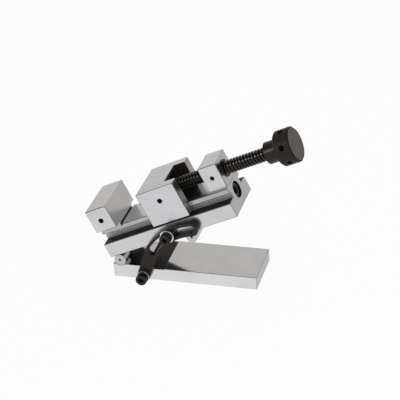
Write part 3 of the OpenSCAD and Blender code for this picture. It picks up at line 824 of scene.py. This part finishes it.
def lead_screw_mesh():
    """The threaded rod with its tip, its neck and its plain end in the hub."""
    thread = threaded(THREAD_ROOT, THREAD_CREST, THREAD_PITCH, THREAD_START, HUB_FACE,
                      THREAD_STEPS, black_thread)
    chamfer, overlap = 0.6 * MM, 0.5 * MM
    tip = turned([(TIP_START, TIP_RADIUS - chamfer), (TIP_START + chamfer, TIP_RADIUS),
                  (NECK_START - chamfer, TIP_RADIUS), (NECK_START, TIP_RADIUS - chamfer),
                  (NECK_START, NECK_RADIUS), (THREAD_START + overlap, NECK_RADIUS)])
    shaft = turned([(HUB_FACE - overlap, THREAD_ROOT - overlap),
                    (SHAFT_END - chamfer, THREAD_ROOT - overlap),
                    (SHAFT_END, THREAD_ROOT - overlap - chamfer)])
    return joined([thread, tip, shaft], black_thread)


def bush_mesh():
    """The bush with its rim, threaded to fit the screw."""
    edge, past = 0.3 * MM, 2 * MM
    blank = turned([(BUSH_START, BUSH_RADIUS - edge), (BUSH_START + edge, BUSH_RADIUS),
                    (BUSH_SHOULDER, BUSH_RADIUS), (BUSH_SHOULDER, BUSH_RIM_RADIUS),
                    (BUSH_END - edge, BUSH_RIM_RADIUS), (BUSH_END, BUSH_RIM_RADIUS - edge)])
    tap = threaded(THREAD_ROOT + THREAD_PLAY, THREAD_CREST + THREAD_PLAY, THREAD_PITCH,
                   BUSH_START - past, BUSH_END + past, THREAD_STEPS, black_thread)
    return joined([cut_out(blank, tap)], black_thread)


def hole_threads(holes):
    """Threaded sleeves in the two side holes of a block."""
    along, half, radius, depth, pitch = holes
    embed, past, short = 0.02 * MM, 1 * MM, 0.2 * MM
    sleeve = turned([(HOLE_THREAD_START, radius + embed), (depth - short, radius + embed)],
                    HOLE_STEPS)
    tap = threaded(radius - HOLE_THREAD_DEPTH, radius - embed, pitch,
                   HOLE_THREAD_START - past, depth + past, HOLE_THREAD_STEPS, bore_black_painted_shade)
    # The threaded sleeves are nearly black: painted shade inside the holes.
    pair = grown(PAIR_TREE, {"Half Width": half, "Material": bore_black_painted_shade}, cut_out(sleeve, tap))
    pair.transform(BED @ Matrix.Translation((along, 0, SCREW_HEIGHT)))
    return pair


def plug_mesh():
    """The bed's end plug: a rim, a well nearly black as painted shade, and a raised ring around its
    hexagonal socket, lighter as painted light.
    """
    edge, rim, ring_outside, ring_inside = 0.3 * MM, 9.4 * MM, 7.9 * MM, 5.8 * MM
    well = PLUG_END - PLUG_WELL
    blank = turned([(PLUG_START, PLUG_RADIUS - edge), (PLUG_START + edge, PLUG_RADIUS),
                    (PLUG_END - edge, PLUG_RADIUS), (PLUG_END, PLUG_RADIUS - edge),
                    (PLUG_END, rim), (well - PLUG_WELL / 2, rim - edge),
                    (well - PLUG_WELL / 2, ring_outside + edge), (well - edge, ring_outside + edge),
                    (well, ring_outside), (well, ring_inside),
                    (well - PLUG_WELL / 2, SOCKET_RADIUS + edge)])
    socket = turned([(SOCKET_START, SOCKET_RADIUS), (PLUG_END + edge, SOCKET_RADIUS)],
                    steps=6)
    plug = cut_out(blank, socket)
    plug.materials.clear()
    for material in (bore_black_painted_shade, black_ring_painted_light, black_parts):
        plug.materials.append(material)
    for face in plug.polygons:
        out = math.hypot(face.center.y, face.center.z)
        on_ring = face.normal.x > 0.6 and abs(face.center.x - well) < edge
        narrow = len(face.vertices) <= 4
        face.material_index = 1 if on_ring and narrow else 2 if out > rim else 0
    return plug


PLUG_AXIS = BED @ Matrix.Translation((0, 0, PLUG_HEIGHT))

for name, node, make, place in (
        ("lead_screw_threaded", "lead_screw", lead_screw_mesh, SCREW_AXIS),
        ("lead_nut_threaded", "lead_nut", bush_mesh, SCREW_AXIS),
        ("end_plug_socketed", "end_plug", plug_mesh, PLUG_AXIS)):
    mesh = make()
    mesh.transform(place)
    add_piece(name, mesh, body_of(node), "black_steel", node)
for name, node, holes in (("fixed_jaw_hole_threads", "vise_body", FIXED_JAW_HOLES),
                          ("moving_jaw_hole_threads", "moving_jaw", MOVING_JAW_HOLES),
                          ("nut_block_hole_threads", "nut_block", NUT_BLOCK_HOLES)):
    add_piece(name, hole_threads(holes), body_of(node), "ground_steel")


# Knurled heads of the arm's bolts

for name, joint in (("pivot_bolt", "pivot_turn"), ("clamp_bolt", "clamp_turn")):
    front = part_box(name)[0].y
    knurl = grown(RIDGE_TREE, {"Count": KNURL_COUNT, "Radius": HEAD_RADIUS - KNURL_SUNK,
                               "Length": HEAD_HEIGHT - 2 * KNURL_BARE, "Ridge": KNURL_SIZE,
                               "Material": black_parts})
    centre = Vector(JOINTS[joint]["pos_m"])
    centre.y = front + HEAD_HEIGHT / 2
    knurl.transform(Matrix.Translation(centre) @ Matrix.Rotation(math.pi / 2, 4, "X"))
    add_piece(name + "_knurl", knurl, body_of(name), "black_steel")


# Studio

WHITE = (1, 1, 1)
BACK_OF_FLOOR = (0.68, 0.665, 0.625)
TOWARDS_BACK = (0.6, 0.8, 0)
FLOOR_RADIUS = 3.0
FLOOR_TONE = (0.9, 0.9, 0.9, 1)
FLOOR_GLOW = 0.95
AMBIENT_TONE = (0.95, 0.97, 1.0, 1)
AMBIENT_STRENGTH = 0.5
PALE_SIDES = (-0.25, 1, 0), (-0.25, -1, -0.8)
ROOM_TONES = ((0.1, (0.14, 0.135, 0.127, 1)), (0.36, (0.34, 0.33, 0.315, 1)),
              (0.72, (0.6, 0.59, 0.56, 1)), (0.89, (0.65, 0.64, 0.61, 1)),
              (1.0, (0.89, 0.88, 0.84, 1)))


def studio_floor():
    """A pale floor with the shadow: white to the camera, greyer at the back in reflections."""
    bpy.ops.mesh.primitive_circle_add(vertices=96, radius=FLOOR_RADIUS, fill_type="NGON")
    floor = bpy.context.active_object
    floor.name = "studio_floor"
    material, tree, shader, add = new_material("pale_floor")
    tree.nodes.remove(shader)
    matt = add("ShaderNodeBsdfDiffuse", Color=FLOOR_TONE)
    coordinates = add("ShaderNodeTexCoord")
    backwards = add("ShaderNodeVectorMath", operation="DOT_PRODUCT")
    backwards.inputs[1].default_value = TOWARDS_BACK
    tree.links.new(coordinates.outputs["Object"], backwards.inputs[0])
    share = spread(tree, add, backwards.outputs["Value"], first=-0.02, last=0.5)
    reflected = tinted(tree, add, share, WHITE, BACK_OF_FLOOR)
    path = add("ShaderNodeLightPath")
    shown = tinted(tree, add, path.outputs["Is Camera Ray"], reflected, WHITE)
    glow = add("ShaderNodeEmission", Strength=1.0)
    tree.links.new(shown, glow.inputs["Color"])
    seen = path.outputs["Is Camera Ray"]
    for ray in ("Is Glossy Ray", "Is Transmission Ray"):
        either = add("ShaderNodeMath", operation="MAXIMUM")
        tree.links.new(seen, either.inputs[0])
        tree.links.new(path.outputs[ray], either.inputs[1])
        seen = either.outputs[0]
    glowing = add("ShaderNodeMath", operation="MULTIPLY")
    glowing.inputs[1].default_value = FLOOR_GLOW
    tree.links.new(seen, glowing.inputs[0])
    surface = blended(tree, add, glowing.outputs[0], matt.outputs[0], glow.outputs[0])
    tree.links.new(surface, tree.nodes["Material Output"].inputs["Surface"])
    floor.data.materials.append(material)


def studio_world():
    """Soft light from all round, white to the camera; in reflections, a room with dark sides."""
    world = bpy.data.worlds.new("studio")
    bpy.context.scene.world = world
    world.use_nodes = True
    tree = world.node_tree
    add = node_adder(tree)
    ambient = tree.nodes["Background"]
    ambient.inputs["Color"].default_value = AMBIENT_TONE
    ambient.inputs["Strength"].default_value = AMBIENT_STRENGTH
    coordinates = add("ShaderNodeTexCoord")
    nearest = add("ShaderNodeMath", operation="MAXIMUM")
    for number, towards in enumerate(PALE_SIDES):
        facing = add("ShaderNodeVectorMath", operation="DOT_PRODUCT")
        facing.inputs[1].default_value = towards
        tree.links.new(coordinates.outputs["Generated"], facing.inputs[0])
        tree.links.new(facing.outputs["Value"], nearest.inputs[number])
    ramp = add("ShaderNodeValToRGB")
    for place, _ in ROOM_TONES[1:-1]:
        ramp.color_ramp.elements.new(place)
    for element, (place, tone) in zip(ramp.color_ramp.elements, ROOM_TONES):
        element.position = place
        element.color = tone
    tree.links.new(nearest.outputs[0], ramp.inputs["Fac"])
    room = add("ShaderNodeBackground")
    tree.links.new(ramp.outputs["Color"], room.inputs["Color"])
    white = add("ShaderNodeBackground", Color=(*WHITE, 1))
    path = add("ShaderNodeLightPath")
    reflected = blended(tree, add, path.outputs["Is Glossy Ray"], ambient.outputs[0],
                        room.outputs[0])
    seen = blended(tree, add, path.outputs["Is Camera Ray"], reflected, white.outputs[0])
    tree.links.new(seen, tree.nodes["World Output"].inputs["Surface"])


def soft_box(name, place, aim, size, power, finishes=()):
    """A square lamp turned towards a point, reaching only the given finishes, if any."""
    lamp = bpy.data.lights.new(name, "AREA")
    lamp.shape = "SQUARE"
    lamp.size = size
    lamp.energy = power
    holder = bpy.data.objects.new(name, lamp)
    bpy.context.scene.collection.objects.link(holder)
    holder.location = place
    holder.rotation_euler = (Vector(aim) - Vector(place)).to_track_quat("-Z", "Y").to_euler()
    if finishes:
        reached = bpy.data.collections.new(name + "_reach")
        for piece in bpy.context.scene.objects:
            if piece.type == "MESH" and any(made in finishes for made in piece.data.materials):
                reached.objects.link(piece)
        holder.light_linking.receiver_collection = reached


def photo_camera():
    """The camera, from the angles, distance and scale that fit the photograph."""
    azimuth, elevation, roll = math.radians(18.348), math.radians(30.267), math.radians(-4.767)
    distance = 1.6218
    target = Vector((0.01672, 0, 0.0952))
    pixels_per_metre = 869.44
    image_width = 400
    back = Vector((math.sin(azimuth) * math.cos(elevation),
                   -math.cos(azimuth) * math.cos(elevation), math.sin(elevation)))
    level = Vector((math.cos(azimuth), math.sin(azimuth), 0))
    rise = back.cross(level)
    right = math.cos(roll) * level + math.sin(roll) * rise
    up = -math.sin(roll) * level + math.cos(roll) * rise
    lens = bpy.data.cameras.new("photo_camera")
    lens.sensor_width = 36
    lens.lens = pixels_per_metre * distance / image_width * lens.sensor_width
    lens.clip_start = 0.05
    holder = bpy.data.objects.new("photo_camera", lens)
    bpy.context.scene.collection.objects.link(holder)
    turned_to_view = Matrix((right, up, back)).transposed().to_4x4()
    holder.matrix_world = Matrix.Translation(target + back * distance) @ turned_to_view
    bpy.context.scene.camera = holder


studio_floor()
studio_world()
soft_box("key_soft_box", (0.75, -1.0, 1.35), aim=(0, 0, 0.08), size=0.9, power=3)
soft_box("side_soft_box", (-0.9, -1.04, 0.85), aim=(0, 0, 0.1), size=0.3, power=6.5,
         finishes=(black_parts, black_matt, black_thread))
soft_box("fill_soft_box", (1.2, -0.5, 0.9), aim=(0, 0, 0.08), size=0.8, power=2)
photo_camera()
bpy.context.scene.view_settings.view_transform = "Standard"
